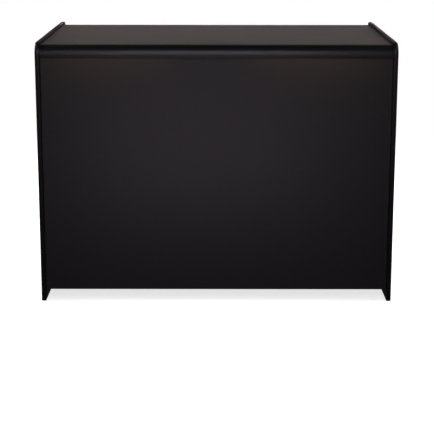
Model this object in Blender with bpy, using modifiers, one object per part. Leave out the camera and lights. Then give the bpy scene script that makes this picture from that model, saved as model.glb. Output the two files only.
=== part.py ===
"""A free-standing shop counter of black melamine-faced board.

The customer side faces -Y, the open staff side faces +Y and the floor is Z = 0. Left and
right are as the customer sees them. Lengths are in metres.
"""

import math

import bmesh
import bpy
from mathutils import Vector

# Overall sizes, over the end panels and their edging
WIDTH = 1.200
DEPTH = 0.725
HEIGHT = 0.890

# Boards, and the gap left between faces that touch
BOARD = 0.015
ARRIS = 0.0004
FIT = 0.0003

# End panels and the domed edging pressed into a groove round their front, top and rear
FRONT_CORNER_RADIUS = 0.040
REAR_CORNER_RADIUS = 0.014
EDGING_LIP = 0.0009
EDGING_CROWN = 0.0016
EDGING_TONGUE_THICKNESS = 0.0022
EDGING_TONGUE_DEPTH = 0.0070

# Worktop, let in below the top of the end panels, with a rounded nosing along both long edges
GALLERY_HEIGHT = 0.009
NOSING_RECESS = 0.008
NOSING_RADIUS = 0.032
NOSING_HEIGHT = 0.042
NOSING_DEPTH = 0.034
TONGUE_THICKNESS = 0.004
TONGUE_WIDTH = 0.016

# Front panel, base shelf, rear plinth and the loose middle shelf
FLOOR_GAP = 0.038
FRONT_PANEL_RECESS = 0.018
BASE_SHELF_TOP = 0.148
MIDDLE_SHELF_TOP = 0.530
SHELF_RECESS = 0.006
PLINTH_RECESS = 0.008
SHELF_SLACK = 0.0008
EDGE_STRIP = 0.001

# Pegs under the middle shelf, and the spare holes above and below them
PEG_PIN_RADIUS = 0.0025
PEG_PIN_DEPTH = 0.009
PEG_HEAD_RADIUS = 0.0035
PEG_HEAD_LENGTH = 0.010
PEG_SETBACK = 0.070
PEG_PITCH = 0.064

# Cam locks in the boards, with their bolts screwed into the end panels
CAM_RADIUS = 0.0073
CAM_HEIGHT = 0.0122
CAM_FROM_BOARD_END = 0.034
CAM_FROM_SHELF_EDGE = 0.100
CAM_FROM_PANEL_EDGE = 0.210
CAM_SLOT_WIDTH = 0.0016
CAM_SLOT_DEPTH = 0.0018
CAM_SLOT_LENGTH = 0.0095
BOLT_THREAD_RADIUS = 0.0025
BOLT_THREAD_DEPTH = 0.011
BOLT_COLLAR_RADIUS = 0.0034
BOLT_COLLAR_LENGTH = 0.0015
BOLT_NECK_RADIUS = 0.0018
BOLT_HEAD_RADIUS = 0.0032
BOLT_HEAD_LENGTH = 0.0040

# Wooden dowels between the boards and the end panels
DOWEL_RADIUS = 0.004
DOWEL_LENGTH = 0.030
DOWEL_IN_END_PANEL = 0.010
DOWEL_CHAMFER = 0.0008
PLINTH_DOWEL_SETBACK = 0.025

# Nailed glides under the end panels
GLIDE_RADIUS = 0.0065
GLIDE_HEIGHT = 0.0022
GLIDE_CHAMFER = 0.0008
GLIDE_PIN_RADIUS = 0.0013
GLIDE_PIN_LENGTH = 0.012
GLIDE_SETBACK = 0.060

# Fineness of round shapes
ARC_STEPS = 9
CROWN_STEPS = 6
ROUND_SIDES = 12

# How far a cutter runs past the face it cuts
OVERSHOOT = 0.002

# Places worked out from the sizes above
INNER_FACE = WIDTH / 2 - BOARD
BOARD_END = INNER_FACE - FIT
FRONT_EDGE = -DEPTH / 2
REAR_EDGE = DEPTH / 2
EDGING_INSET = EDGING_LIP + EDGING_CROWN + FIT
WORKTOP_TOP = HEIGHT - GALLERY_HEIGHT
WORKTOP_UNDERSIDE = WORKTOP_TOP - BOARD
NOSING_BOTTOM = WORKTOP_TOP - NOSING_HEIGHT
WORKTOP_REACH = DEPTH / 2 - NOSING_RECESS - NOSING_DEPTH - FIT
FRONT_PANEL_FACE = FRONT_EDGE + FRONT_PANEL_RECESS
FRONT_PANEL_BACK = FRONT_PANEL_FACE + BOARD
STRIP_SEAT = EDGE_STRIP + FIT
SHELF_REAR = REAR_EDGE - SHELF_RECESS
PLINTH_FACE = REAR_EDGE - PLINTH_RECESS
BASE_UNDERSIDE = BASE_SHELF_TOP - BOARD
SHELF_UNDERSIDE = MIDDLE_SHELF_TOP - BOARD
SHELF_FRONT = FRONT_PANEL_BACK + SHELF_SLACK

SIDES = {"left": -1, "right": 1}
X_AXIS = Vector((1, 0, 0))
Y_AXIS = Vector((0, 1, 0))
Z_AXIS = Vector((0, 0, 1))


for old in list(bpy.data.objects):
    bpy.data.objects.remove(old, do_unlink=True)

parts = bpy.data.collections.new("shop_counter")
cutters = bpy.data.collections.new("cutters")
cutters.hide_render = True
bpy.context.scene.collection.children.link(parts)
bpy.context.scene.collection.children.link(cutters)


def finish(name, colour, roughness, metallic=0.0):
    """A plain surface finish with its own colour."""
    material = bpy.data.materials.new(name)
    material.use_nodes = True
    shader = material.node_tree.nodes["Principled BSDF"]
    shader.inputs["Base Color"].default_value = (*colour, 1.0)
    shader.inputs["Roughness"].default_value = roughness
    shader.inputs["Metallic"].default_value = metallic
    return material


MELAMINE = finish("black_melamine", (0.012, 0.011, 0.012), 0.42)
WORKTOP_MELAMINE = finish("worktop_melamine", (0.014, 0.013, 0.013), 0.38)
NOSING_FOIL = finish("nosing_foil", (0.010, 0.010, 0.011), 0.25)
EDGING_PLASTIC = finish("edging_plastic", (0.009, 0.009, 0.009), 0.28)
STRIP_PLASTIC = finish("edge_strip_plastic", (0.016, 0.016, 0.017), 0.35)
ZINC = finish("cast_zinc", (0.52, 0.52, 0.53), 0.40, 1.0)
STEEL = finish("plated_steel", (0.60, 0.60, 0.60), 0.28, 1.0)
BEECH = finish("beech_dowel", (0.56, 0.40, 0.24), 0.65)
HARDBOARD = finish("hardboard_tongue", (0.20, 0.12, 0.07), 0.75)
NYLON = finish("black_nylon", (0.015, 0.015, 0.015), 0.50)


def place(name, mesh, material, location=(0, 0, 0), parent=None):
    """A sub-part in the object's collection."""
    obj = bpy.data.objects.new(name, mesh)
    mesh.materials.append(material)
    parts.objects.link(obj)
    obj.location = location
    obj.parent = parent
    return obj


def place_cutter(name, mesh):
    """A helper that only cuts, drawn as wires."""
    obj = bpy.data.objects.new(name, mesh)
    cutters.objects.link(obj)
    obj.hide_render = True
    obj.display_type = "WIRE"
    return obj


def cut(target, cutter):
    """Takes the cutter's shape out of the target."""
    modifier = target.modifiers.new(cutter.name, "BOOLEAN")
    modifier.operation = "DIFFERENCE"
    modifier.solver = "EXACT"
    modifier.object = cutter


def aim(obj, location, direction):
    """Puts an object's origin at a place and its own Z axis along a direction."""
    obj.location = location
    obj.rotation_euler = Z_AXIS.rotation_difference(direction).to_euler()


def box_mesh(name, size):
    """A box of the given size about its own centre."""
    shape = bmesh.new()
    bmesh.ops.create_cube(shape, size=1.0)
    bmesh.ops.scale(shape, vec=size, verts=shape.verts)
    mesh = bpy.data.meshes.new(name)
    shape.to_mesh(mesh)
    shape.free()
    return mesh


def rod_mesh(name, radius, length):
    """A faceted rod from its own origin along +Z."""
    shape = bmesh.new()
    bmesh.ops.create_cone(
        shape,
        cap_ends=True,
        segments=ROUND_SIDES,
        radius1=radius,
        radius2=radius,
        depth=length,
    )
    bmesh.ops.translate(shape, vec=(0, 0, length / 2), verts=shape.verts)
    mesh = bpy.data.meshes.new(name)
    shape.to_mesh(mesh)
    shape.free()
    mesh.shade_smooth()
    mesh.set_sharp_from_angle(angle=math.radians(40))
    return mesh


def soften(obj, width):
    """Takes the sharpness off every edge with one narrow chamfer."""
    modifier = obj.modifiers.new("softened_edges", "BEVEL")
    modifier.width = width
    modifier.segments = 1
    modifier.limit_method = "ANGLE"
    modifier.angle_limit = math.radians(60)


def board(name, low, high, material, arris=ARRIS, parent=None):
    """A flat board between two opposite corners, placed about its own centre."""
    low = Vector(low)
    high = Vector(high)
    obj = place(name, box_mesh(name, high - low), material, (low + high) / 2, parent)
    soften(obj, arris)
    return obj


def slot(name, low, high):
    """A box-shaped cutter between two opposite corners."""
    low = Vector(low)
    high = Vector(high)
    obj = place_cutter(name, box_mesh(name, high - low))
    obj.location = (low + high) / 2
    return obj


def clear_radius(radius):
    """The radius of a faceted hole whose flats stay clear of a pin of this radius."""
    return (radius + FIT) / math.cos(math.pi / ROUND_SIDES)


def drill(name, radius, start, direction, depth):
    """A cutter for a blind hole, which begins a little outside the face at its start."""
    obj = place_cutter(name, rod_mesh(name, radius, depth + OVERSHOOT))
    aim(obj, start - OVERSHOOT * direction, direction)
    return obj


def arc(centre, radius, start, end, steps):
    """Points round a centre, from one angle to another in degrees."""
    angles = [math.radians(start + (end - start) * i / steps) for i in range(steps + 1)]
    return [
        (centre[0] + radius * math.cos(angle), centre[1] + radius * math.sin(angle))
        for angle in angles
    ]


def curve_object(name, points, closed):
    """A flat curve of straight stretches through the points."""
    curve = bpy.data.curves.new(name, "CURVE")
    curve.dimensions = "2D"
    spline = curve.splines.new("POLY")
    spline.points.add(len(points) - 1)
    for point, (across, up) in zip(spline.points, points):
        point.co = (across, up, 0, 1)
    spline.use_cyclic_u = closed
    obj = bpy.data.objects.new(name, curve)
    cutters.objects.link(obj)
    return obj


def mesh_from_curve(obj):
    """The closed mesh of a curve object, with its caps joined to its walls."""
    graph = bpy.context.evaluated_depsgraph_get()
    mesh = bpy.data.meshes.new_from_object(obj.evaluated_get(graph))
    shape = bmesh.new()
    shape.from_mesh(mesh)
    bmesh.ops.remove_doubles(shape, verts=shape.verts, dist=0.000001)
    bmesh.ops.recalc_face_normals(shape, faces=shape.faces)
    shape.to_mesh(mesh)
    shape.free()
    bpy.data.objects.remove(obj, do_unlink=True)
    mesh.materials.clear()
    mesh.shade_smooth()
    mesh.set_sharp_from_angle(angle=math.radians(30))
    return mesh


def stand_up(obj, across=0.0):
    """Turns an outline drawn in (Y, Z) upright, so that its thickness runs along X."""
    obj.location = (across, 0, 0)
    obj.rotation_euler = (math.pi / 2, 0, math.pi / 2)
    return obj


def slab_mesh(name, outline, thickness):
    """A flat slab with the outline given in (Y, Z)."""
    curve = curve_object(name, outline, closed=True)
    curve.data.fill_mode = "BOTH"
    curve.data.extrude = thickness / 2
    return mesh_from_curve(curve)


def turned_part(name, profile, material):
    """A piece turned about its own Z axis from (radius, height) points, top to bottom."""
    mesh = bpy.data.meshes.new(name)
    edges = [(i, i + 1) for i in range(len(profile) - 1)]
    mesh.from_pydata([(radius, 0, height) for radius, height in profile], edges, [])
    obj = place(name, mesh, material)
    screw = obj.modifiers.new("turned", "SCREW")
    screw.steps = ROUND_SIDES
    screw.render_steps = ROUND_SIDES
    screw.use_merge_vertices = True
    screw.merge_threshold = 0.00001
    return obj


def end_outline(inset, foot):
    """The end panel's edge from its front foot over the top to its rear foot."""
    front = FRONT_EDGE + inset
    rear = REAR_EDGE - inset
    top = HEIGHT - inset
    front_radius = max(FRONT_CORNER_RADIUS - inset, FIT)
    rear_radius = max(REAR_CORNER_RADIUS - inset, FIT)
    front_centre = (front + front_radius, top - front_radius)
    rear_centre = (rear - rear_radius, top - rear_radius)
    return [
        (front, foot),
        *arc(front_centre, front_radius, 180, 90, ARC_STEPS),
        *arc(rear_centre, rear_radius, 90, 0, ARC_STEPS),
        (rear, foot),
    ]


def edging_section():
    """The edging's section: a domed cap as wide as the board, with a tongue behind it."""
    half = BOARD / 2
    tongue = EDGING_TONGUE_THICKNESS / 2
    brow = FIT + EDGING_LIP
    crown_radius = (half**2 + EDGING_CROWN**2) / (2 * EDGING_CROWN)
    spread = math.degrees(math.asin(half / crown_radius))
    dome = arc(
        (brow + EDGING_CROWN - crown_radius, 0), crown_radius, -spread, spread, CROWN_STEPS
    )
    return [
        (FIT, -half),
        *dome,
        (FIT, half),
        (FIT, tongue),
        (-EDGING_TONGUE_DEPTH, tongue),
        (-EDGING_TONGUE_DEPTH, -tongue),
        (FIT, -tongue),
    ]


# End panels, with a groove for the edging round three sides
def end_panel(name, side):
    """One end panel standing on its glides."""
    core = end_outline(EDGING_INSET, GLIDE_HEIGHT)
    panel = place(name, slab_mesh(name, core, BOARD), MELAMINE)
    stand_up(panel, side * (INNER_FACE + BOARD / 2))
    groove_foot = GLIDE_HEIGHT - OVERSHOOT
    outside = end_outline(EDGING_INSET - OVERSHOOT, groove_foot)
    inside = end_outline(EDGING_INSET + EDGING_TONGUE_DEPTH + FIT, groove_foot)
    groove_outline = outside + inside[::-1]
    groove_width = EDGING_TONGUE_THICKNESS + 2 * FIT
    groove = place_cutter(
        name + "_groove", slab_mesh(name + "_groove", groove_outline, groove_width)
    )
    stand_up(groove, panel.location.x)
    cut(panel, groove)
    return panel


def end_edging(name, side):
    """The domed edging of one end panel, its tongue in the groove."""
    section = curve_object(name + "_section", edging_section(), closed=True)
    # Run from the rear foot to the front one, so that the section's dome faces outwards
    route = end_outline(EDGING_INSET, GLIDE_HEIGHT)[::-1]
    path = curve_object(name, route, closed=False)
    path.data.bevel_mode = "OBJECT"
    path.data.bevel_object = section
    path.data.use_fill_caps = True
    edging = place(name, mesh_from_curve(path), EDGING_PLASTIC)
    bpy.data.objects.remove(section, do_unlink=True)
    return stand_up(edging, side * (INNER_FACE + BOARD / 2))


end_panels = {}
for hand, side in SIDES.items():
    end_panels[hand] = end_panel(f"{hand}_end_panel", side)
    end_edging(f"{hand}_end_edging", side)


# Worktop and the two nosings, joined by loose tongues in matching grooves
worktop = board(
    "worktop",
    (-BOARD_END, -WORKTOP_REACH, WORKTOP_UNDERSIDE),
    (BOARD_END, WORKTOP_REACH, WORKTOP_TOP),
    WORKTOP_MELAMINE,
)


def nosing(name, facing):
    """The rounded rail along one long edge: facing is -1 at the front and 1 at the rear."""
    face = DEPTH / 2 - NOSING_RECESS
    back = face - NOSING_DEPTH
    centre = (face - NOSING_RADIUS, WORKTOP_TOP - NOSING_RADIUS)
    outline = [
        (back, NOSING_BOTTOM),
        (face, NOSING_BOTTOM),
        *arc(centre, NOSING_RADIUS, 0, 90, ARC_STEPS),
        (back, WORKTOP_TOP),
    ]
    outline = [(facing * across, up) for across, up in outline]
    return stand_up(place(name, slab_mesh(name, outline, 2 * BOARD_END), NOSING_FOIL))


for place_name, facing in (("front", -1), ("rear", 1)):
    rail = nosing(f"{place_name}_nosing", facing)
    seam = facing * (WORKTOP_REACH + FIT / 2)
    tongue_height = WORKTOP_TOP - BOARD / 2
    half_width = TONGUE_WIDTH / 2
    half_thickness = TONGUE_THICKNESS / 2
    board(
        f"{place_name}_nosing_tongue",
        (-BOARD_END, seam - half_width, tongue_height - half_thickness),
        (BOARD_END, seam + half_width, tongue_height + half_thickness),
        HARDBOARD,
    )
    tongue_groove = slot(
        f"{place_name}_tongue_groove",
        (-BOARD_END - OVERSHOOT, seam - half_width - FIT, tongue_height - half_thickness - FIT),
        (BOARD_END + OVERSHOOT, seam + half_width + FIT, tongue_height + half_thickness + FIT),
    )
    cut(rail, tongue_groove)
    cut(worktop, tongue_groove)


# Front panel under the front nosing, with a strip along its bottom edge
front_panel = board(
    "front_panel",
    (-BOARD_END, FRONT_PANEL_FACE, FLOOR_GAP + STRIP_SEAT),
    (BOARD_END, FRONT_PANEL_BACK, NOSING_BOTTOM - FIT),
    MELAMINE,
)
board(
    "front_panel_edging",
    (-BOARD_END, FRONT_PANEL_FACE, FLOOR_GAP),
    (BOARD_END, FRONT_PANEL_BACK, FLOOR_GAP + EDGE_STRIP),
    STRIP_PLASTIC,
    arris=EDGE_STRIP / 4,
)


# Base shelf, with a strip along its staff-side edge
base_shelf = board(
    "base_shelf",
    (-BOARD_END, FRONT_PANEL_BACK + FIT, BASE_UNDERSIDE),
    (BOARD_END, SHELF_REAR - STRIP_SEAT, BASE_SHELF_TOP),
    MELAMINE,
)
board(
    "base_shelf_edging",
    (-BOARD_END, SHELF_REAR - EDGE_STRIP, BASE_UNDERSIDE),
    (BOARD_END, SHELF_REAR, BASE_SHELF_TOP),
    STRIP_PLASTIC,
    arris=EDGE_STRIP / 4,
)


# Rear plinth under the base shelf, with a strip along its bottom edge
rear_plinth = board(
    "rear_plinth",
    (-BOARD_END, PLINTH_FACE - BOARD, FLOOR_GAP + STRIP_SEAT),
    (BOARD_END, PLINTH_FACE, BASE_UNDERSIDE - FIT),
    MELAMINE,
)
board(
    "rear_plinth_edging",
    (-BOARD_END, PLINTH_FACE - BOARD, FLOOR_GAP),
    (BOARD_END, PLINTH_FACE, FLOOR_GAP + EDGE_STRIP),
    STRIP_PLASTIC,
    arris=EDGE_STRIP / 4,
)


# Middle shelf, which lies loose on its pegs and slides out of the open staff side
shelf_slide = bpy.data.objects.new("shelf_slide", None)
parts.objects.link(shelf_slide)
shelf_slide.location = (0, SHELF_REAR, SHELF_UNDERSIDE)
# The shelf and its strip are placed in the empty's own space
SHELF_HALF = INNER_FACE - SHELF_SLACK
board(
    "middle_shelf",
    (-SHELF_HALF, SHELF_FRONT - SHELF_REAR, 0),
    (SHELF_HALF, -STRIP_SEAT, BOARD),
    MELAMINE,
    parent=shelf_slide,
)
board(
    "middle_shelf_edging",
    (-SHELF_HALF, -EDGE_STRIP, 0),
    (SHELF_HALF, 0, BOARD),
    STRIP_PLASTIC,
    arris=EDGE_STRIP / 4,
    parent=shelf_slide,
)


# Shelf pegs in rows of holes, so that the shelf can sit higher or lower
def shelf_peg(name):
    """A stepped metal peg: its pin runs along +Z from the shoulder, its head along -Z."""
    profile = [
        (0, PEG_PIN_DEPTH),
        (PEG_PIN_RADIUS, PEG_PIN_DEPTH),
        (PEG_PIN_RADIUS, -FIT),
        (PEG_HEAD_RADIUS, -FIT),
        (PEG_HEAD_RADIUS, -FIT - PEG_HEAD_LENGTH),
        (0, -FIT - PEG_HEAD_LENGTH),
    ]
    return turned_part(name, profile, STEEL)


PEG_HEIGHT = SHELF_UNDERSIDE - FIT - PEG_HEAD_RADIUS
PEG_PLACES = {"front": SHELF_FRONT + PEG_SETBACK, "rear": SHELF_REAR - PEG_SETBACK}
for hand, side in SIDES.items():
    outward = side * X_AXIS
    for place_name, along in PEG_PLACES.items():
        peg = shelf_peg(f"shelf_peg_{hand}_{place_name}")
        aim(peg, (side * INNER_FACE, along, PEG_HEIGHT), outward)
        for row in (-1, 0, 1):
            start = Vector((side * INNER_FACE, along, PEG_HEIGHT + row * PEG_PITCH))
            hole = drill(
                f"peg_hole_{hand}_{place_name}_{row}",
                clear_radius(PEG_PIN_RADIUS),
                start,
                outward,
                PEG_PIN_DEPTH + FIT,
            )
            cut(end_panels[hand], hole)


# Cam locks, which draw each board against the bolts in the end panels
def cam_bolt(name):
    """A bolt whose thread runs along +Z into the end panel and whose head lies in the cam."""
    head_end = -FIT - CAM_FROM_BOARD_END - BOLT_HEAD_LENGTH / 2
    collar_end = -FIT - BOLT_COLLAR_LENGTH
    head_slope = BOLT_HEAD_RADIUS - BOLT_NECK_RADIUS
    profile = [
        (0, BOLT_THREAD_DEPTH),
        (BOLT_NECK_RADIUS, BOLT_THREAD_DEPTH),
        (BOLT_THREAD_RADIUS, BOLT_THREAD_DEPTH - (BOLT_THREAD_RADIUS - BOLT_NECK_RADIUS)),
        (BOLT_THREAD_RADIUS, -FIT),
        (BOLT_COLLAR_RADIUS, -FIT),
        (BOLT_COLLAR_RADIUS, collar_end),
        (BOLT_NECK_RADIUS, collar_end),
        (BOLT_NECK_RADIUS, head_end + BOLT_HEAD_LENGTH),
        (BOLT_HEAD_RADIUS, head_end + BOLT_HEAD_LENGTH - head_slope),
        (BOLT_HEAD_RADIUS, head_end),
        (0, head_end),
    ]
    return turned_part(name, profile, STEEL)


def cam_fitting(label, target, hand, centre, face):
    """One cam lock and its bolt between a board and an end panel.

    The centre is a point of the board's middle plane at the end panel's inner face, and
    the face is the way that the cam looks out of the board.
    """
    side = SIDES[hand]
    outward = side * X_AXIS
    inward = -outward
    bolt = cam_bolt(label.replace("cam", "cam_bolt", 1))
    aim(bolt, centre, outward)
    bolt_hole = drill(
        label + "_bolt_hole",
        clear_radius(BOLT_THREAD_RADIUS),
        centre,
        outward,
        BOLT_THREAD_DEPTH + FIT,
    )
    cut(end_panels[hand], bolt_hole)

    surface = centre + (FIT + CAM_FROM_BOARD_END) * inward + BOARD / 2 * face
    cam = place(
        label.replace("cam", "cam_lock", 1),
        rod_mesh(label, CAM_RADIUS, CAM_HEIGHT),
        ZINC,
    )
    aim(cam, surface - FIT * face, -face)
    housing = drill(
        label + "_housing",
        clear_radius(CAM_RADIUS),
        surface,
        -face,
        CAM_HEIGHT + 2 * FIT,
    )
    bore = drill(
        label + "_bore",
        clear_radius(max(BOLT_HEAD_RADIUS, BOLT_COLLAR_RADIUS)),
        centre,
        inward,
        CAM_FROM_BOARD_END + BOLT_HEAD_LENGTH / 2 + 2 * FIT,
    )
    cut(target, housing)
    cut(target, bore)
    cut(cam, bore)
    slot_size = (CAM_SLOT_WIDTH, CAM_SLOT_LENGTH, 2 * CAM_SLOT_DEPTH)
    driver_slot = place_cutter(label + "_slot", box_mesh(label + "_slot", slot_size))
    aim(driver_slot, surface - FIT * face, -face)
    cut(cam, driver_slot)


def dowel(label, target, hand, centre):
    """One wooden dowel half in a board's end and half in the end panel."""
    side = SIDES[hand]
    outward = side * X_AXIS
    inward = -outward
    in_board = DOWEL_LENGTH - DOWEL_IN_END_PANEL
    pin = place(label, rod_mesh(label, DOWEL_RADIUS, DOWEL_LENGTH), BEECH)
    aim(pin, centre + in_board * inward, outward)
    soften(pin, DOWEL_CHAMFER)
    radius = clear_radius(DOWEL_RADIUS)
    end_hole = drill(label + "_end_hole", radius, centre, outward, DOWEL_IN_END_PANEL + FIT)
    board_hole = drill(label + "_board_hole", radius, centre, inward, in_board + FIT)
    cut(end_panels[hand], end_hole)
    cut(target, board_hole)


WORKTOP_MIDDLE = WORKTOP_TOP - BOARD / 2
BASE_MIDDLE = BASE_SHELF_TOP - BOARD / 2
BASE_FRONT = FRONT_PANEL_BACK + FIT
PANEL_MIDDLE = (FRONT_PANEL_FACE + FRONT_PANEL_BACK) / 2
PANEL_BOTTOM = FLOOR_GAP + STRIP_SEAT
PLINTH_MIDDLE = PLINTH_FACE - BOARD / 2

for hand, side in SIDES.items():
    across = side * INNER_FACE
    cam_fitting(
        f"worktop_cam_{hand}_front",
        worktop,
        hand,
        Vector((across, -WORKTOP_REACH + CAM_FROM_SHELF_EDGE, WORKTOP_MIDDLE)),
        -Z_AXIS,
    )
    cam_fitting(
        f"worktop_cam_{hand}_rear",
        worktop,
        hand,
        Vector((across, WORKTOP_REACH - CAM_FROM_SHELF_EDGE, WORKTOP_MIDDLE)),
        -Z_AXIS,
    )
    cam_fitting(
        f"base_shelf_cam_{hand}_front",
        base_shelf,
        hand,
        Vector((across, BASE_FRONT + CAM_FROM_SHELF_EDGE, BASE_MIDDLE)),
        -Z_AXIS,
    )
    cam_fitting(
        f"base_shelf_cam_{hand}_rear",
        base_shelf,
        hand,
        Vector((across, SHELF_REAR - CAM_FROM_SHELF_EDGE, BASE_MIDDLE)),
        -Z_AXIS,
    )
    cam_fitting(
        f"front_panel_cam_{hand}_bottom",
        front_panel,
        hand,
        Vector((across, PANEL_MIDDLE, PANEL_BOTTOM + CAM_FROM_PANEL_EDGE)),
        Y_AXIS,
    )
    cam_fitting(
        f"front_panel_cam_{hand}_top",
        front_panel,
        hand,
        Vector((across, PANEL_MIDDLE, NOSING_BOTTOM - CAM_FROM_PANEL_EDGE)),
        Y_AXIS,
    )
    dowel(
        f"worktop_dowel_{hand}",
        worktop,
        hand,
        Vector((across, 0, WORKTOP_MIDDLE)),
    )
    dowel(
        f"base_shelf_dowel_{hand}",
        base_shelf,
        hand,
        Vector((across, (BASE_FRONT + SHELF_REAR) / 2, BASE_MIDDLE)),
    )
    dowel(
        f"front_panel_dowel_{hand}",
        front_panel,
        hand,
        Vector((across, PANEL_MIDDLE, (PANEL_BOTTOM + NOSING_BOTTOM) / 2)),
    )
    dowel(
        f"rear_plinth_dowel_{hand}_bottom",
        rear_plinth,
        hand,
        Vector((across, PLINTH_MIDDLE, FLOOR_GAP + PLINTH_DOWEL_SETBACK)),
    )
    dowel(
        f"rear_plinth_dowel_{hand}_top",
        rear_plinth,
        hand,
        Vector((across, PLINTH_MIDDLE, BASE_UNDERSIDE - PLINTH_DOWEL_SETBACK)),
    )


# Floor glides, nailed up into the bottom edges of the end panels
def floor_glide(name):
    """A chamfered disc on the floor with a nail standing up from it."""
    profile = [
        (0, GLIDE_HEIGHT + GLIDE_PIN_LENGTH),
        (GLIDE_PIN_RADIUS, GLIDE_HEIGHT + GLIDE_PIN_LENGTH),
        (GLIDE_PIN_RADIUS, GLIDE_HEIGHT - FIT),
        (GLIDE_RADIUS, GLIDE_HEIGHT - FIT),
        (GLIDE_RADIUS, GLIDE_CHAMFER),
        (GLIDE_RADIUS - GLIDE_CHAMFER, 0),
        (0, 0),
    ]
    return turned_part(name, profile, NYLON)


GLIDE_PLACES = {"front": FRONT_EDGE + GLIDE_SETBACK, "rear": REAR_EDGE - GLIDE_SETBACK}
for hand, side in SIDES.items():
    for place_name, along in GLIDE_PLACES.items():
        foot = Vector((side * (INNER_FACE + BOARD / 2), along, 0))
        glide = floor_glide(f"floor_glide_{hand}_{place_name}")
        glide.location = foot
        pin_hole = drill(
            f"glide_hole_{hand}_{place_name}",
            clear_radius(GLIDE_PIN_RADIUS),
            foot + GLIDE_HEIGHT * Z_AXIS,
            Z_AXIS,
            GLIDE_PIN_LENGTH + FIT,
        )
        cut(end_panels[hand], pin_hole)
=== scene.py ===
"""The looks of a black shop counter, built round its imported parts.

The customer side faces -Y, the open staff side faces +Y and the floor is Z = 0. Left and
right are as the customer sees them. Lengths are in metres and colours are linear.
"""

import math

import bpy
import numpy as np
from mathutils import Matrix, Vector


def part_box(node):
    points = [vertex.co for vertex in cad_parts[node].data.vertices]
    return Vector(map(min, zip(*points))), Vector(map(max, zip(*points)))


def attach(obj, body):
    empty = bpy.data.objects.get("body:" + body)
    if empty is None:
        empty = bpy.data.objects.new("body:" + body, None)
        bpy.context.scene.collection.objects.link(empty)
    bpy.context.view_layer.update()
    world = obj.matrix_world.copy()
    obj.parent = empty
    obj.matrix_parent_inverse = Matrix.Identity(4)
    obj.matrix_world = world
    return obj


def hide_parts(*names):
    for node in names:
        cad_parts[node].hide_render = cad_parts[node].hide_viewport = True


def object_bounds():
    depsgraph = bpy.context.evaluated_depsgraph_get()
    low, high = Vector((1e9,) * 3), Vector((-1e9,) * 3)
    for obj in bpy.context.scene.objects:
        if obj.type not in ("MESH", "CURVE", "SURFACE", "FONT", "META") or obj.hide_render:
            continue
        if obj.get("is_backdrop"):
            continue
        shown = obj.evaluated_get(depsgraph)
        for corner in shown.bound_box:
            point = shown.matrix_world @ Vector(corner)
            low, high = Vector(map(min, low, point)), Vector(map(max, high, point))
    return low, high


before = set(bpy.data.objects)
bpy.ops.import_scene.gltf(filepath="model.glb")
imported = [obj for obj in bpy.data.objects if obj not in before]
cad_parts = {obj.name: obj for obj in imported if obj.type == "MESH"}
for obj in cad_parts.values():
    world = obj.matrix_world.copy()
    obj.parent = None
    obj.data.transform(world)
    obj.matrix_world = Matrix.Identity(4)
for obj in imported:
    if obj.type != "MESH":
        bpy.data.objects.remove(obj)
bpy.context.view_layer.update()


# The camera stands in front of the customer side, with its lens half a metre above the
# worktop, and looks down on the counter. Its shift leaves the foot of the picture empty.
IMAGE_HEIGHT = 435
FOCAL_LENGTH_PIXELS = 1224.9
AIM_ROW = 165
SENSOR_MM = 36
CAMERA_PLACE = (0.002, -4.3815, 1.3565)
CAMERA_DIP = math.radians(12.298)
CAMERA_TILT = math.radians(0.069)

lens = bpy.data.cameras.new("photo_camera")
lens.sensor_width = SENSOR_MM
lens.lens = SENSOR_MM * FOCAL_LENGTH_PIXELS / IMAGE_HEIGHT
lens.shift_y = (AIM_ROW - IMAGE_HEIGHT / 2) / IMAGE_HEIGHT
camera = bpy.data.objects.new("photo_camera", lens)
bpy.context.scene.collection.objects.link(camera)
camera.matrix_world = (
    Matrix.Translation(CAMERA_PLACE)
    @ Matrix.Rotation(math.pi / 2 - CAMERA_DIP, 4, "X")
    @ Matrix.Rotation(CAMERA_TILT, 4, "Z")
)
bpy.context.scene.camera = camera
bpy.context.scene.view_settings.view_transform = "Standard"


# The studio is a pale matt floor that fades into white. Soft lights stand over both long sides
# and both ends, with wide dim screens before and behind. Fills light the matt surfaces and stay
# out of the gloss. Glows, near the floor or level with the worktop, show in the gloss alone.
FLOOR_COLOUR = (0.42, 0.42, 0.42, 1)
FLOOR_MOTTLE = 0.97
FLOOR_GLOW = 0.74
FLOOR_REACH = 3.0
FLOOR_SOLID = 1.2
BACKDROP_LEVEL = 1.0
ROOM_LEVEL = 0.03


class Signal:
    """A socket of a finish. Arithmetic on it adds Math nodes, and node adds any other node."""

    def __init__(self, tree, socket):
        self.tree = tree
        self.socket = socket

    def node(self, kind, settings, sockets, output=0):
        """A node with its settings made first and then its sockets set or linked."""
        made = self.tree.nodes.new(kind)
        for name, value in settings.items():
            setattr(made, name, value)
        for key, value in sockets.items():
            if isinstance(value, Signal):
                self.tree.links.new(value.socket, made.inputs[key])
            else:
                made.inputs[key].default_value = value
        return Signal(self.tree, made.outputs[output])

    def math(self, operation, first, second=0.0):
        """One Math node on two values."""
        return self.node("ShaderNodeMath", {"operation": operation}, {0: first, 1: second})

    def __add__(self, other):
        return self.math("ADD", self, other)

    def __radd__(self, other):
        return self.math("ADD", other, self)

    def __sub__(self, other):
        return self.math("SUBTRACT", self, other)

    def __rsub__(self, other):
        return self.math("SUBTRACT", other, self)

    def __mul__(self, other):
        return self.math("MULTIPLY", self, other)

    def __rmul__(self, other):
        return self.math("MULTIPLY", other, self)

    def feed(self, shader, socket):
        """Links this signal to one of the shader's sockets."""
        self.tree.links.new(self.socket, shader.inputs[socket])


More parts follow.
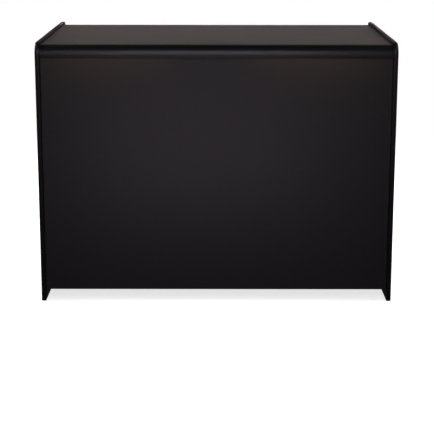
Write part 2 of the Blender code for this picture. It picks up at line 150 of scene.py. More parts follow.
def new_finish(name, specular, roughness=0.5, metallic=0.0):
    """A material, its shader, and the place on the piece as the first signal."""
    material = bpy.data.materials.new(name)
    material.use_nodes = True
    tree = material.node_tree
    shader = tree.nodes["Principled BSDF"]
    shader.inputs["Specular IOR Level"].default_value = specular
    shader.inputs["Roughness"].default_value = roughness
    shader.inputs["Metallic"].default_value = metallic
    place = Signal(tree, tree.nodes.new("ShaderNodeTexCoord").outputs["Object"])
    return material, shader, place


def stretched(place, factors):
    """The place scaled by a factor along each axis."""
    return place.node("ShaderNodeVectorMath", {"operation": "MULTIPLY"}, {0: place, 1: factors})


def grain(place, scale, detail=2.0):
    """Smooth noise from 0 to 1 with so many humps to the metre."""
    return place.node(
        "ShaderNodeTexNoise", {}, {"Vector": place, "Scale": scale, "Detail": detail}
    )


def between(mask, first, second):
    """A colour that goes from the first to the second as the mask goes from 0 to 1."""
    return mask.node("ShaderNodeMix", {"data_type": "RGBA"}, {0: mask, 6: first, 7: second}, 2)


def ramp(value, low, high):
    """A smooth step from 0 at the low value to 1 at the high one."""
    sockets = {"Value": value, "From Min": low, "From Max": high}
    return value.node("ShaderNodeMapRange", {"interpolation_type": "SMOOTHSTEP"}, sockets)


def shade(colour, factor):
    """A colour made lighter or darker by a factor."""
    return (*(channel * factor for channel in colour[:3]), 1)


def grid_quads(rows, columns, closed):
    """Corner numbers of the quads between neighbouring points of a grid, closed round or open."""
    index = np.arange(rows * columns).reshape(rows, columns)
    ahead = np.roll(index, -1, axis=1)
    quads = np.stack([index[:-1], ahead[:-1], ahead[1:], index[1:]], axis=-1)
    return (quads if closed else quads[:, :-1]).reshape(-1, 4)


def add_object(name, mesh, material):
    """An object at the origin with one finish."""
    mesh.materials.append(material)
    obj = bpy.data.objects.new(name, mesh)
    bpy.context.scene.collection.objects.link(obj)
    return obj


floor_finish, floor_shader, floor_place = new_finish("pale_floor", specular=0.1, roughness=0.9)
floor_mottle = grain(floor_place, 3.0, 4.0)
between(floor_mottle, FLOOR_COLOUR, shade(FLOOR_COLOUR, FLOOR_MOTTLE)).feed(floor_shader, "Base Color")
floor_distance = floor_place.node("ShaderNodeVectorMath", {"operation": "LENGTH"}, {0: floor_place}, 1)
(1 - ramp(floor_distance, FLOOR_SOLID, FLOOR_REACH)).feed(floor_shader, "Alpha")
floor_shader.inputs["Emission Color"].default_value = (1, 1, 1, 1)
floor_shader.inputs["Emission Strength"].default_value = FLOOR_GLOW

# A flat square grid: across and along run from one side of the floor to the other
across, along = np.meshgrid([-FLOOR_REACH, FLOOR_REACH], [-FLOOR_REACH, FLOOR_REACH])
floor_points = np.stack([across, along, np.zeros_like(across)], axis=-1).reshape(-1, 3)
floor_mesh = bpy.data.meshes.new("floor")
floor_mesh.from_pydata(floor_points.tolist(), [], grid_quads(2, 2, closed=False).tolist())
floor = add_object("floor", floor_mesh, floor_finish)
floor.visible_glossy = False
floor.visible_diffuse = False
floor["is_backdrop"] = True

world = bpy.data.worlds.new("studio")
world.use_nodes = True
bpy.context.scene.world = world
background = world.node_tree.nodes["Background"]
background.inputs["Color"].default_value = (1, 1, 1, 1)
light_path = world.node_tree.nodes.new("ShaderNodeLightPath")
seen = Signal(world.node_tree, light_path.outputs["Is Camera Ray"])
(seen * (BACKDROP_LEVEL - ROOM_LEVEL) + ROOM_LEVEL).feed(background, "Strength")


def softbox(name, place, target, size, radiance, tint, matt=True, gloss=True):
    """An evenly bright rectangle that faces a target and is itself out of the picture. It can
    be kept from lighting surfaces, or from showing in their gloss."""
    light = bpy.data.lights.new(name, "AREA")
    light.shape = "RECTANGLE"
    light.size, light.size_y = size
    light.energy = 4 * size[0] * size[1] * radiance
    light.color = tint
    # Sampled from the lights alone, because screened lights else come out too bright on some runs
    light.cycles.use_multiple_importance_sampling = False
    obj = bpy.data.objects.new(name, light)
    bpy.context.scene.collection.objects.link(obj)
    obj.location = place
    obj.rotation_euler = (Vector(target) - Vector(place)).to_track_quat("-Z", "Y").to_euler()
    obj.visible_camera = False
    obj.visible_diffuse = matt
    obj.visible_glossy = gloss
    return obj


def keep_off(light, piece):
    """Screens a light from one piece, as a flag does in a studio."""
    if light.light_linking.receiver_collection is None:
        light.light_linking.receiver_collection = bpy.data.collections.new(f"{light.name}_screened")
    screened = light.light_linking.receiver_collection
    screened.objects.link(piece)
    for member in screened.collection_objects:
        member.light_linking.link_state = "EXCLUDE"


PALE_WHITE = (1.0, 0.98, 0.96)
BLUE_WHITE = (0.90, 0.84, 1.0)
VIOLET_WHITE = (0.98, 0.84, 1.0)
LILAC_WHITE = (1.0, 0.79, 0.92)
ROSE_WHITE = (1.0, 0.80, 0.79)
AMBER_WHITE = (1.0, 0.72, 0.37)
PEACH_WHITE = (1.0, 0.80, 0.60)
AIM_DEPTH = 0.35
SCREEN_LEVEL = 0.9
CORNER_GLOW_LEVEL = 0.85

side_lights = {}
for side, facing in (("customer", -1), ("staff", 1)):
    side_lights[side] = softbox(
        f"{side}_light",
        place=(-0.10, facing * 2.6, 1.90),
        target=(0, facing * AIM_DEPTH, 0.87),
        size=(1.25, 2.0),
        radiance=4.0,
        tint=BLUE_WHITE,
    )

low_glows = [
    softbox(
        "customer_glow",
        place=(-0.08, -2.3, 0.06),
        target=(0, -AIM_DEPTH, 0.5),
        size=(1.1, 0.45),
        radiance=3.7,
        tint=VIOLET_WHITE,
        matt=False,
    ),
    softbox(
        "staff_glow",
        place=(-0.08, 2.6, 0.08),
        target=(0, AIM_DEPTH, 0.5),
        size=(1.2, 0.5),
        radiance=1.0,
        tint=LILAC_WHITE,
        matt=False,
    ),
]
for hand, beside in (("left", -1.7), ("right", 1.7)):
    floor_glow = softbox(
        f"{hand}_floor_glow",
        place=(beside, -1.3, 0.01),
        target=(beside, -1.3, 1),
        size=(1.2, 1.5),
        radiance=0.7,
        tint=PALE_WHITE,
        matt=False,
    )
    low_glows.append(floor_glow)

corner_glows = []
for hand, beside, radiance in (("left", -0.40, 6.3), ("right", 0.36, 6.8)):
    corner_glow = softbox(
        f"{hand}_corner_glow",
        place=(beside, -0.8, CORNER_GLOW_LEVEL),
        target=(beside, 0, CORNER_GLOW_LEVEL),
        size=(0.4, 0.06),
        radiance=radiance,
        tint=AMBER_WHITE,
        matt=False,
    )
    corner_glows.append(corner_glow)

screens = []
for side, away, radiance, tint in (
    ("customer", -4.8, 0.42, PEACH_WHITE),
    ("staff", 4.8, 0.50, ROSE_WHITE),
):
    screen = softbox(
        f"{side}_screen",
        place=(0, away, SCREEN_LEVEL),
        target=(0, 0, SCREEN_LEVEL),
        size=(4.0, 1.8),
        radiance=radiance,
        tint=tint,
    )
    screens.append(screen)

softbox(
    "staff_fill",
    place=(0, 3.4, 0.75),
    target=(0, 0, 0.5),
    size=(2.0, 0.6),
    radiance=50.0,
    tint=PALE_WHITE,
    gloss=False,
)
top_fill = softbox(
    "top_fill",
    place=(0, 0, 2.8),
    target=(0, 0, 0.9),
    size=(2.4, 1.6),
    radiance=3.0,
    tint=PALE_WHITE,
    gloss=False,
)

end_lights = {}
high_end_lights = []
for hand, out in (("left", -1), ("right", 1)):
    end_middle = (out * 0.6, 0, 0.5)
    high_light = softbox(
        f"{hand}_light",
        place=(out * 2.9, 0.17, 3.62),
        target=(out * -0.5, 0, 0.92),
        size=(3.2, 1.6),
        radiance=3.8,
        tint=PALE_WHITE,
    )
    end_glow = softbox(
        f"{hand}_glow",
        place=(out * 2.8, 0, 0.05),
        target=end_middle,
        size=(1.0, 0.5),
        radiance=4.4,
        tint=BLUE_WHITE,
        matt=False,
    )
    end_fill = softbox(
        f"{hand}_fill",
        place=(out * 2.6, 0, 0.9),
        target=end_middle,
        size=(1.2, 0.8),
        radiance=14.0,
        tint=PALE_WHITE,
        gloss=False,
    )
    end_lights[hand] = [high_light, end_glow, end_fill]
    high_end_lights.append(high_light)
OPPOSITE = {"left": "right", "right": "left"}


# Flat boards are chipboard faced on both sides with black melamine pressed against a finely
# dimpled plate. The faces are satin, the arrises are painted paler as a painted highlight,
# and bare chipboard shows inside the drilled holes and on the edges that carry no strip.
MELAMINE_COLOUR = (0.0128, 0.0118, 0.0128, 1)
CHIP_DARK = (0.085, 0.050, 0.026, 1)
CHIP_PALE = (0.330, 0.235, 0.140, 1)
CHIP_ROUGHNESS = 0.9
MELAMINE_SPECULAR = 0.13
MELAMINE_ROUGHNESS = 0.36
MOTTLE_DARK = 0.83
MOTTLE_PALE = 1.17
ARRIS_HIGHLIGHT_PALE = 2.5
ARRIS_HIGHLIGHT_SHARE = 0.5
X, Y, Z = 0, 1, 2


def melamine(name, thickness_axis, colour, roughness):
    """Board finish: the faces across the thickness axis are melamine, the rest is chipboard."""
    material, shader, place = new_finish(name, MELAMINE_SPECULAR)
    normal = place.node("ShaderNodeNewGeometry", {}, {}, "Normal")
    facing = place.math(
        "ABSOLUTE", normal.node("ShaderNodeSeparateXYZ", {}, {0: normal}, thickness_axis)
    )
    pearl = grain(place, 1100)
    mottle = grain(place, 300, 3.0)
    cloud = grain(place, 7, 3.0)

    face = between(ramp(mottle, 0.30, 0.70), shade(colour, MOTTLE_DARK), shade(colour, MOTTLE_PALE))
    # Painted highlight: the arrises, between face and edge, are painted paler than the face.
    arris_highlight = ramp(facing, 0.60, 0.75) * (1 - ramp(facing, 0.90, 0.99))
    face = between(arris_highlight * ARRIS_HIGHLIGHT_SHARE, face, shade(colour, ARRIS_HIGHLIGHT_PALE))
    chips = between(ramp(grain(place, 420, 4.0), 0.35, 0.65), CHIP_DARK, CHIP_PALE)
    is_face = ramp(facing, 0.55, 0.65)
    between(is_face, chips, face).feed(shader, "Base Color")

    face_roughness = roughness + 0.04 * (cloud - 0.5) + 0.08 * (mottle - 0.5)
    (CHIP_ROUGHNESS - is_face * (CHIP_ROUGHNESS - face_roughness)).feed(shader, "Roughness")
    dimples = {"Strength": 0.6, "Distance": 0.00005, "Height": pearl + 1.5 * mottle}
    pearl.node("ShaderNodeBump", {}, dimples).feed(shader, "Normal")
    return material


def dress(node, material):
    """Gives a CAD node's slots one finish."""
    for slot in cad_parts[node].material_slots:
        slot.material = material


upright_finish = melamine("melamine_end", X, MELAMINE_COLOUR, MELAMINE_ROUGHNESS)
for hand in ("left", "right"):
    node = f"{hand}_end_panel"
    dress(node, upright_finish)
    for light in (*side_lights.values(), *screens, top_fill, *end_lights[OPPOSITE[hand]]):
        keep_off(light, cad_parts[node])

front_finish = melamine("melamine_front", Y, MELAMINE_COLOUR, MELAMINE_ROUGHNESS)
dress("front_panel", front_finish)
dress("rear_plinth", front_finish)

shelf_finish = melamine("melamine_shelf", Z, MELAMINE_COLOUR, MELAMINE_ROUGHNESS)
dress("base_shelf", shelf_finish)
dress("middle_shelf", shelf_finish)

# The worktop is the same melamine, painted about twice as pale as the other boards: painted sheen in
# place of the gloss of the lights that are kept off it below.
WORKTOP_SHEEN_COLOUR = (0.0250, 0.0231, 0.0235, 1)
WORKTOP_ROUGHNESS = 0.38
dress("worktop", melamine("melamine_worktop", Z, WORKTOP_SHEEN_COLOUR, WORKTOP_ROUGHNESS))
for light in (*side_lights.values(), *corner_glows, *high_end_lights):
    keep_off(light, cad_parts["worktop"])


# Each end panel is edged with a black plastic extrusion: a domed cap as wide as the board,
# held by a barbed tongue that is hammered into a groove. It runs from the front foot over
# the rounded top corners to the rear foot.
EDGING_COLOUR = (0.0045, 0.0045, 0.0046, 1)
EDGING_CROWN = 0.0016
EDGING_LIP = 0.0009
EDGING_SEAT = 0.00035
LIP_ROUND = 0.0004
TONGUE_REACH = 0.0070
TONGUE_HALF = 0.0010
BARB_HEIGHT = 0.0003
BARBS = 3
BARBS_START = 0.25
BARBS_END = 0.9
TONGUE_TIP = 0.5
FRONT_CORNER = 0.040
REAR_CORNER = 0.014
SHARP_CORNER = math.radians(35)


def arc(centre, radius, start, end, steps):
    """Points round a centre at even angles, given in degrees."""
    angle = np.radians(np.linspace(start, end, steps + 1))
    return np.stack([centre[0] + radius * np.cos(angle), centre[1] + radius * np.sin(angle)], axis=-1)


def swept(stations, outwards, sideways, section):
    """A section carried along a path: each station plus its outward and sideways axes, times
    the section's two coordinates, as a grid of rows along the path."""
    out = section[None, :, :1] * outwards[:, None, :]
    side = section[None, :, 1:] * sideways[:, None, :]
    return stations[:, None, :] + out + side


def closed_piece(name, points, material):
    """A closed mesh on a grid whose columns go round the section, with both ends capped.

    The faces are turned to point outwards, which is when the cones from the origin to all the
    faces add up to a positive volume. Each point keeps its distances along and round.
    """
    rows, columns = points.shape[:2]
    flat = points.reshape(-1, 3)
    quads = grid_quads(rows, columns, closed=True)
    first_cap = np.arange(columns)[::-1]
    last_cap = np.arange(columns) + (rows - 1) * columns
    fans = [quads[:, [0, 1, 2]], quads[:, [0, 2, 3]]]
    for cap in (first_cap, last_cap):
        fans.append(np.stack([np.full(columns - 2, cap[0]), cap[1:-1], cap[2:]], axis=-1))
    corners = flat[np.concatenate(fans)]
    volume = np.einsum("ij,ij->", corners[:, 0], np.cross(corners[:, 1], corners[:, 2]))
    faces = [*quads.tolist(), first_cap.tolist(), last_cap.tolist()]
    if volume < 0:
        faces = [face[::-1] for face in faces]
    mesh = bpy.data.meshes.new(name)
    mesh.from_pydata(flat.tolist(), [], faces)
    mesh.shade_smooth()
    mesh.set_sharp_from_angle(angle=SHARP_CORNER)

    steps_along = np.linalg.norm(np.diff(points, axis=0), axis=2)
    steps_round = np.linalg.norm(np.diff(points, axis=1), axis=2)
    along = np.concatenate([np.zeros((1, columns)), np.cumsum(steps_along, axis=0)])
    around = np.concatenate([np.zeros((rows, 1)), np.cumsum(steps_round, axis=1)], axis=1)
    run = np.stack([along, around, np.zeros_like(along)], axis=-1).astype(np.float32)
    mesh.attributes.new("run", "FLOAT_VECTOR", "POINT").data.foreach_set("vector", run.ravel())
    return add_object(name, mesh, material)


def extruded_plastic(name, colour, specular, roughness):
    """Plastic drawn through a die: faint lines along its length and slow changes of gloss."""
    material, shader, place = new_finish(name, specular)
    run = place.node("ShaderNodeAttribute", {"attribute_name": "run"}, {}, "Vector")
    lines = grain(stretched(run, (6, 5000, 1)), 1.0)
    cloud = grain(place, 18, 3.0)
    between(cloud, shade(colour, 0.85), shade(colour, 1.20)).feed(shader, "Base Color")
    (roughness + 0.08 * (cloud - 0.5) + 0.06 * (lines - 0.5)).feed(shader, "Roughness")
    bump = {"Strength": 0.5, "Distance": 0.000012, "Height": lines}
    lines.node("ShaderNodeBump", {}, bump).feed(shader, "Normal")
    return material


def edging_section(half):
    """The edging's outline as (outwards, sideways): a crowned face with rounded lips, a flat
    back and a tongue whose sides rise and fall in barbs. Outwards is 0 on top of the crown."""
    crown_radius = (half**2 + EDGING_CROWN**2) / (2 * EDGING_CROWN)
    spread = math.asin((half - LIP_ROUND) / (crown_radius - LIP_ROUND))
    lip_centre = ((crown_radius - LIP_ROUND) * math.cos(spread) - crown_radius, half - LIP_ROUND)
    spread = math.degrees(spread)
    dome = arc((-crown_radius, 0), crown_radius, -spread, spread, steps=24)
    lip = arc(lip_centre, LIP_ROUND, spread, 90, steps=5)[1:]
    back = -(EDGING_CROWN + EDGING_LIP + EDGING_SEAT)
    tooth = np.tile([0.0, BARB_HEIGHT], BARBS)
    depth = back - TONGUE_REACH * np.linspace(BARBS_START, BARBS_END, 2 * BARBS)
    barbs = np.stack([depth, TONGUE_HALF + tooth], axis=-1)
    tip = [[back - TONGUE_REACH, TONGUE_HALF * TONGUE_TIP]]
    upper = np.concatenate([lip, [[back, half], [back, TONGUE_HALF]], barbs, tip])
    lower = upper[::-1] * (1, -1)
    return np.concatenate([dome, upper, lower])


def edging_route(front, rear, top, foot):
    """The end panel's outer edge in (Y, Z) from the front foot over the top to the rear foot,
    with the outward direction at each point."""
    front_centre = (front + FRONT_CORNER, top - FRONT_CORNER)
    rear_centre = (rear - REAR_CORNER, top - REAR_CORNER)
    front_arc = arc(front_centre, FRONT_CORNER, 180, 90, steps=32)
    rear_arc = arc(rear_centre, REAR_CORNER, 90, 0, steps=20)
    route = np.concatenate([[(front, foot)], front_arc, rear_arc, [(rear, foot)]])
    outward = np.concatenate(
        [
            [(-1, 0)],
            (front_arc - front_centre) / FRONT_CORNER,
            (rear_arc - rear_centre) / REAR_CORNER,
            [(1, 0)],
        ]
    )
    return route, outward


def in_space(pairs):
    """Points or directions in (Y, Z) as ones in (X, Y, Z) at X = 0."""
    return np.concatenate([np.zeros((len(pairs), 1)), pairs], axis=1)


edging_finish = extruded_plastic("edging_plastic", EDGING_COLOUR, specular=0.15, roughness=0.38)
for hand in ("left", "right"):
    node = f"{hand}_end_edging"
    low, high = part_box(node)
    route, outward = edging_route(low.y, high.y, high.z, low.z)
    middle = np.array(((low.x + high.x) / 2, 0, 0))
    sideways = np.tile((1.0, 0.0, 0.0), (len(route), 1))
    section = edging_section((high.x - low.x) / 2)
    points = swept(in_space(route) + middle, in_space(outward), sideways, section)
    edging = closed_piece(f"{hand}_edging", points, edging_finish)
    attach(edging, "carcass")
    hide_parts(node)
    screened = (side_lights["staff"], *low_glows, *corner_glows, top_fill, *end_lights[OPPOSITE[hand]])
    for light in screened:
        keep_off(light, edging)


# The cut edges of the front panel, the shelves and the plinth that show are covered with a
# thin black strip, glued on hot and trimmed to small round corners.
STRIP_COLOUR = (0.0085, 0.0083, 0.0085, 1)
STRIP_ROUND = 0.0007
strip_finish = extruded_plastic("strip_plastic", STRIP_COLOUR, specular=0.30, roughness=0.34)


def strip_section(thickness, width):
    """A strip's outline as (outwards, sideways): flat at 0 behind, round at the two corners."""
    half = width / 2
    corner = (thickness - STRIP_ROUND, half - STRIP_ROUND)
    upper = arc(corner, STRIP_ROUND, 0, 90, steps=6)
    upper = np.concatenate([upper, [[0, half]]])
    return np.concatenate([upper, upper[::-1] * (1, -1)])


def edge_strip(node, outward_axis, direction, body):
    """The strip over one board edge, which runs along X and looks along the outward axis."""
    low, high = (np.array(corner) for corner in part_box(node))
    side_axis = Y + Z - outward_axis
    size = high - low
    seat = (low + high) / 2
    seat[outward_axis] -= direction * size[outward_axis] / 2
    stations = np.tile(seat, (2, 1))
    stations[:, X] = low[X], high[X]
    outwards = np.zeros((2, 3))
    outwards[:, outward_axis] = direction
    sideways = np.zeros((2, 3))
    sideways[:, side_axis] = 1
    section = strip_section(size[outward_axis], size[side_axis])
    strip = closed_piece(
        node.replace("edging", "strip"), swept(stations, outwards, sideways, section), strip_finish
    )
    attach(strip, body)
    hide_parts(node)


edge_strip("front_panel_edging", Z, -1, "carcass")
edge_strip("rear_plinth_edging", Z, -1, "carcass")
edge_strip("base_shelf_edging", Y, 1, "carcass")
edge_strip("middle_shelf_edging", Y, 1, "shelf")


# The nosings are shaped rails wrapped in a smooth black foil, with a large quarter round
# above a short flat. A loose tongue in matching grooves joins each to the worktop.
NOSING_COLOUR = (0.0018, 0.0018, 0.0019, 1)
NOSING_ROUGHNESS = 0.33
NOSING_RADIUS = 0.032
NOSING_FOOT_ROUND = 0.0012
NOSING_SEAM_ROUND = 0.0004
TONGUE_CLEARANCE = 0.0003


def wrapped_foil(name):
    """Smooth foil over a shaped rail: a fine skin with faint lines along the rail."""
    material, shader, place = new_finish(name, specular=0.18)
    skin = grain(place, 900)
    lines = grain(stretched(place, (8, 1500, 1500)), 1.0)
    cloud = grain(place, 12, 3.0)
    between(cloud, shade(NOSING_COLOUR, 0.85), shade(NOSING_COLOUR, 1.2)).feed(shader, "Base Color")
    (NOSING_ROUGHNESS + 0.06 * (cloud - 0.5) + 0.05 * (lines - 0.5)).feed(shader, "Roughness")
    bump = {"Strength": 0.5, "Distance": 0.000015, "Height": skin}
    skin.node("ShaderNodeBump", {}, bump).feed(shader, "Normal")
    return material


def nosing_section(low, high, groove_low, groove_high, groove_depth):
    """The rail's outline as (outwards, up): foot, flat face, quarter round, top and a back face
    with a groove. Outwards is 0 at the back."""
    depth = high[Y] - low[Y]
    foot_centre = (depth - NOSING_FOOT_ROUND, low[Z] + NOSING_FOOT_ROUND)
    nose_centre = (depth - NOSING_RADIUS, high[Z] - NOSING_RADIUS)
    seam_centre = (NOSING_SEAM_ROUND, high[Z] - NOSING_SEAM_ROUND)
    foot = arc(foot_centre, NOSING_FOOT_ROUND, -90, 0, steps=6)
    nose = arc(nose_centre, NOSING_RADIUS, 0, 90, steps=48)
    seam = arc(seam_centre, NOSING_SEAM_ROUND, 90, 180, steps=4)
    groove = [
        (0, groove_high),
        (groove_depth, groove_high),
        (groove_depth, groove_low),
        (0, groove_low),
        (0, low[Z]),
    ]
    return np.concatenate([foot, nose, seam, groove])


nosing_finish = wrapped_foil("nosing_foil")
for end, direction in (("front", -1), ("rear", 1)):
    node = f"{end}_nosing"
    low, high = (np.array(corner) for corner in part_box(node))
    tongue_low, tongue_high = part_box(f"{end}_nosing_tongue")
    back = low[Y] if direction > 0 else high[Y]
    tongue_tip = tongue_high.y if direction > 0 else tongue_low.y
    section = nosing_section(
        low,
        high,
        tongue_low.z - TONGUE_CLEARANCE,
        tongue_high.z + TONGUE_CLEARANCE,
        abs(tongue_tip - back) + TONGUE_CLEARANCE,
    )
    stations = np.array([(low[X], back, 0), (high[X], back, 0)])
    outwards = np.tile((0.0, direction, 0.0), (2, 1))
    upwards = np.tile((0.0, 0.0, 1.0), (2, 1))
    rail = closed_piece(f"{end}_nosing_rail", swept(stations, outwards, upwards, section), nosing_finish)
    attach(rail, "carcass")
    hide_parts(node)
    for light in (side_lights["staff" if end == "front" else "customer"], *corner_glows):
        keep_off(light, rail)


# The tongues between worktop and nosings are strips of brown hardboard, pressed from wood
# fibre and left bare in their grooves.
HARDBOARD_DARK = (0.090, 0.048, 0.024, 1)
HARDBOARD_PALE = (0.240, 0.140, 0.075, 1)
hardboard, hardboard_shader, hardboard_place = new_finish("hardboard", specular=0.2, roughness=0.8)
fibre = grain(stretched(hardboard_place, (300, 1500, 1500)), 1.0, 4.0)
between(fibre, HARDBOARD_DARK, HARDBOARD_PALE).feed(hardboard_shader, "Base Color")
fibre_bump = {"Strength": 0.5, "Distance": 0.0001, "Height": fibre}
fibre.node("ShaderNodeBump", {}, fibre_bump).feed(hardboard_shader, "Normal")
dress("front_nosing_tongue", hardboard)
dress("rear_nosing_tongue", hardboard)


# Wooden dowels place each board against the end panels. They are beech rod with flutes
# pressed along them, so that glue can spread, and chamfered ends.
BEECH_DARK = (0.36, 0.22, 0.11, 1)
BEECH_PALE = (0.58, 0.41, 0.24, 1)
DOWEL_FLUTES = 16
FLUTE_STEPS = 6
FLUTE_DEPTH = 0.00035
DOWEL_CHAMFER = 0.0010


def beech():
    """Pale wood with grain along the dowel and short dark flecks."""
    material, shader, place = new_finish("beech", specular=0.3, roughness=0.62)
    fibre = grain(stretched(place, (60, 1400, 1400)), 1.0, 4.0)
    fleck = ramp(grain(stretched(place, (350, 2600, 2600)), 1.0, 1.0), 0.62, 0.75)
    wood = between(fibre, BEECH_DARK, BEECH_PALE)
    between(fleck * 0.5, wood, BEECH_DARK).feed(shader, "Base Color")
    bump = {"Strength": 0.4, "Distance": 0.00005, "Height": fibre}
    fibre.node("ShaderNodeBump", {}, bump).feed(shader, "Normal")
    return material


def about_x(centre, along, radius, angle):
    """A grid about a line along X: each row's place and radius, at each column's angle."""
    return np.stack(
        [
            along * np.ones_like(angle),
            centre.y + radius * np.cos(angle),
            centre.z + radius * np.sin(angle),
        ],
        axis=-1,
    )


def fluted_dowel(node, material):
    """Radius = rod radius less a small cosine ripple round the dowel, tapering at both ends."""
    low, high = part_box(node)
    centre = (low + high) / 2
    rod = (high.z - low.z) / 2
    along = np.array((low.x, low.x + DOWEL_CHAMFER, high.x - DOWEL_CHAMFER, high.x))[:, None]
    taper = np.array((DOWEL_CHAMFER, 0, 0, DOWEL_CHAMFER))[:, None]
    angle = np.linspace(0, 2 * np.pi, FLUTE_STEPS * DOWEL_FLUTES, endpoint=False)[None, :]
    radius = rod - taper - FLUTE_DEPTH * (0.5 - 0.5 * np.cos(DOWEL_FLUTES * angle))
    dowel = closed_piece(f"{node}_fluted", about_x(centre, along, radius, angle), material)
    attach(dowel, "carcass")
    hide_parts(node)


beech_finish = beech()
for node in sorted(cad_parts):
    if "_dowel_" in node:
        fluted_dowel(node, beech_finish)


# Cam locks are zinc castings set into the boards. A steel bolt screwed into the end panel
# reaches into each, and a turn of the lock draws the board up tight.
ZINC_COLOUR = (0.50, 0.50, 0.51, 1)
zinc, zinc_shader, zinc_place = new_finish("cast_zinc", specular=0.5, metallic=1.0)
zinc_skin = grain(zinc_place, 1800, 3.0)
between(zinc_skin, shade(ZINC_COLOUR, 0.7), shade(ZINC_COLOUR, 1.1)).feed(zinc_shader, "Base Color")
(0.32 + 0.22 * zinc_skin).feed(zinc_shader, "Roughness")
zinc_bump = {"Strength": 0.4, "Distance": 0.00006, "Height": zinc_skin}
zinc_skin.node("ShaderNodeBump", {}, zinc_bump).feed(zinc_shader, "Normal")
for node in sorted(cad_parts):
    if "_cam_lock_" in node:
        dress(node, zinc)

STEEL_COLOUR = (0.58, 0.58, 0.57, 1)
BOLT_THREAD = 0.0110
BOLT_THREAD_RADIUS = 0.0025
BOLT_ROOT_RADIUS = 0.0017
BOLT_PITCH = 0.0018
BOLT_COLLAR = 0.0015
BOLT_NECK_RADIUS = 0.0018
BOLT_HEAD = 0.0040
BOLT_HEAD_RADIUS = 0.0032
BOLT_HEAD_CHAMFER = 0.0004
THREAD_STEPS = 72
BOLT_RING_STEPS = 32


def turned_steel():
    """Bright plated steel with fine tool marks round its axis."""
    material, shader, place = new_finish("plated_steel", specular=0.5, metallic=1.0)
    marks = grain(stretched(place, (9000, 300, 300)), 1.0)
    cloud = grain(place, 400)
    between(cloud, shade(STEEL_COLOUR, 0.85), shade(STEEL_COLOUR, 1.1)).feed(shader, "Base Color")
    (0.20 + 0.12 * marks + 0.06 * cloud).feed(shader, "Roughness")
    return material


def cam_bolt(node, material):
    """Radius along the bolt: a helical thread, where the radius swings between root and crest
    as the place along the bolt less the turned angle times the pitch, then collar, neck and head."""
    low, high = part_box(node)
    centre = (low + high) / 2
    outward = 1 if centre.x > 0 else -1
    tip = high.x if outward > 0 else low.x
    length = high.x - low.x
    collar_radius = (high.z - low.z) / 2
    thread = np.linspace(0, BOLT_THREAD, THREAD_STEPS)
    shaft = np.array(
        (
            (BOLT_THREAD, collar_radius),
            (BOLT_THREAD + BOLT_COLLAR, collar_radius),
            (BOLT_THREAD + BOLT_COLLAR, BOLT_NECK_RADIUS),
            (length - BOLT_HEAD, BOLT_NECK_RADIUS),
            (length - BOLT_HEAD + BOLT_HEAD_RADIUS - BOLT_NECK_RADIUS, BOLT_HEAD_RADIUS),
            (length - BOLT_HEAD_CHAMFER, BOLT_HEAD_RADIUS),
            (length, BOLT_HEAD_RADIUS - BOLT_HEAD_CHAMFER),
        )
    )
    angle = np.linspace(0, 2 * np.pi, BOLT_RING_STEPS, endpoint=False)[None, :]
    phase = thread[:, None] / BOLT_PITCH - angle / (2 * np.pi)
    swing = np.abs(2 * (phase % 1) - 1)
    runout = np.clip(np.minimum(thread, BOLT_THREAD - thread) / BOLT_PITCH, 0, 1)[:, None]
    thread_radius = BOLT_ROOT_RADIUS + (BOLT_THREAD_RADIUS - BOLT_ROOT_RADIUS) * swing * runout
    radius = np.concatenate([thread_radius, shaft[:, 1:] * np.ones_like(angle)])
    along = tip - outward * np.concatenate([thread, shaft[:, 0]])[:, None]
    bolt = closed_piece(f"{node}_threaded", about_x(centre, along, radius, angle), material)
    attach(bolt, "carcass")
    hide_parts(node)


steel_finish = turned_steel()
for node in sorted(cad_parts):
    if "_cam_bolt_" in node:
        cam_bolt(node, steel_finish)


# The cam locks of the front panel face the staff, so each is hidden by a black plastic cap
# that is pushed into the lock and lies on the face of the panel.
CAP_COLOUR = (0.0060, 0.0058, 0.0058, 1)
CAP_RADIUS = 0.0088
CAP_THICKNESS = 0.0015
CAP_ROUND = 0.0006
CAP_TIP_RADIUS = 0.0002
RING_STEPS = 48
cap_finish, cap_shader, cap_place = new_finish("cap_plastic", specular=0.3)
cap_skin = grain(cap_place, 1500)
between(cap_skin, shade(CAP_COLOUR, 0.8), shade(CAP_COLOUR, 1.2)).feed(cap_shader, "Base Color")
(0.38 + 0.12 * cap_skin).feed(cap_shader, "Roughness")


def cover_cap(node):
    """A low turned dome: a rounded rim, then a crown that rises as the square of the way in."""
    low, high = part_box(node)
    centre = (low + high) / 2
    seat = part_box("front_panel")[1].y
    rim = arc((CAP_RADIUS - CAP_ROUND, CAP_ROUND), CAP_ROUND, -30, 90, steps=8)
    inner = np.linspace(CAP_RADIUS - CAP_ROUND, CAP_TIP_RADIUS, 10)[1:]
    crown = 2 * CAP_ROUND + (CAP_THICKNESS - 2 * CAP_ROUND) * (1 - (inner / CAP_RADIUS) ** 2)
    profile = np.concatenate(
        [[[CAP_RADIUS - CAP_ROUND, 0.0]], rim, np.stack([inner, crown], axis=-1)]
    )
    angle = np.linspace(0, 2 * np.pi, RING_STEPS, endpoint=False)[None, :]
    points = np.stack(
        [
            centre.x + profile[:, :1] * np.cos(angle),
            seat + profile[:, 1:] * np.ones_like(angle),
            centre.z + profile[:, :1] * np.sin(angle),
        ],
        axis=-1,
    )
    cap = closed_piece(node.replace("cam_lock", "cap"), points, cap_finish)
    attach(cap, "carcass")


for hand in ("left", "right"):
    for level in ("bottom", "top"):
        cover_cap(f"front_panel_cam_lock_{hand}_{level}")


# The middle shelf lies loose on four plated steel pegs, which push into drilled holes so
# that the shelf can be set higher or lower.
PEG_PIN = 0.0090
PEG_PIN_RADIUS = 0.0025
PEG_ROUND = 0.0008
PEG_GROOVE = 0.0003
PEG_GROOVE_PLACE = 0.0020
PEG_PIN_CHAMFER = 0.0006
PEG_HEAD_CHAMFER = 0.0002
PEG_GAP = 0.0003


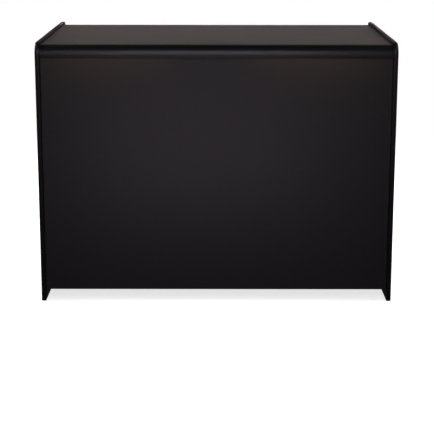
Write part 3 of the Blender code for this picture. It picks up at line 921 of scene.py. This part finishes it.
def shelf_peg(node, material):
    """Radius along the peg: a chamfered pin, a shoulder, a head with one fine groove and a
    rounded end."""
    low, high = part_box(node)
    centre = (low + high) / 2
    outward = 1 if centre.x > 0 else -1
    tip = high.x if outward > 0 else low.x
    length = high.x - low.x
    head = (high.z - low.z) / 2
    shoulder = PEG_PIN + PEG_GAP
    groove = shoulder + PEG_GROOVE_PLACE
    end = arc((length - PEG_ROUND, head - PEG_ROUND), PEG_ROUND, 90, 0, steps=8)
    profile = np.concatenate(
        [
            [
                (0, PEG_PIN_RADIUS - PEG_PIN_CHAMFER),
                (PEG_PIN_CHAMFER, PEG_PIN_RADIUS),
                (shoulder, PEG_PIN_RADIUS),
                (shoulder, head - PEG_HEAD_CHAMFER),
                (shoulder + PEG_HEAD_CHAMFER, head),
                (groove, head),
                (groove + PEG_GROOVE, head - PEG_GROOVE),
                (groove + 2 * PEG_GROOVE, head),
            ],
            end,
        ]
    )
    angle = np.linspace(0, 2 * np.pi, RING_STEPS, endpoint=False)[None, :]
    along = tip - outward * profile[:, :1]
    points = about_x(centre, along, profile[:, 1:] * np.ones_like(angle), angle)
    peg = closed_piece(f"{node}_turned", points, material)
    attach(peg, "carcass")
    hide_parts(node)


# The counter stands on four black nylon glides, each a low button nailed up into the bottom
# edge of an end panel.
GLIDE_COLOUR = (0.0120, 0.0120, 0.0125, 1)
GLIDE_NAIL_RADIUS = 0.0013
GLIDE_ROUND = 0.0008
GLIDE_GAP = 0.0003
GLIDE_HEIGHT = 0.0022
NAIL_POINT = 0.003
NAIL_TIP_RADIUS = 0.0003
nylon, nylon_shader, nylon_place = new_finish("nylon", specular=0.4)
nylon_skin = grain(nylon_place, 1300, 3.0)
between(nylon_skin, shade(GLIDE_COLOUR, 0.8), shade(GLIDE_COLOUR, 1.4)).feed(nylon_shader, "Base Color")
(0.40 + 0.2 * nylon_skin).feed(nylon_shader, "Roughness")


def floor_glide(node):
    """Turned about an upright line: a flat foot, a rounded rim, a flat top and the nail."""
    low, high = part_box(node)
    centre = (low + high) / 2
    rim = (high.x - low.x) / 2
    top = GLIDE_HEIGHT - GLIDE_GAP
    foot = arc((rim - GLIDE_ROUND, GLIDE_ROUND), GLIDE_ROUND, -90, 0, steps=8)
    brow = arc((rim - GLIDE_GAP, top - GLIDE_GAP), GLIDE_GAP, 0, 90, steps=4)
    nail = [
        (GLIDE_NAIL_RADIUS, top),
        (GLIDE_NAIL_RADIUS, high.z - NAIL_POINT),
        (NAIL_TIP_RADIUS, high.z),
    ]
    profile = np.concatenate([foot, brow, nail])
    angle = np.linspace(0, 2 * np.pi, RING_STEPS, endpoint=False)[None, :]
    points = np.stack(
        [
            centre.x + profile[:, :1] * np.cos(angle),
            centre.y + profile[:, :1] * np.sin(angle),
            profile[:, 1:] * np.ones_like(angle),
        ],
        axis=-1,
    )
    glide = closed_piece(f"{node}_button", points, nylon)
    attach(glide, "carcass")
    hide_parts(node)


for hand in ("left", "right"):
    for end in ("front", "rear"):
        shelf_peg(f"shelf_peg_{hand}_{end}", steel_finish)
        floor_glide(f"floor_glide_{hand}_{end}")


# The bounds of the dressed counter, which has to keep the imported size
low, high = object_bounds()
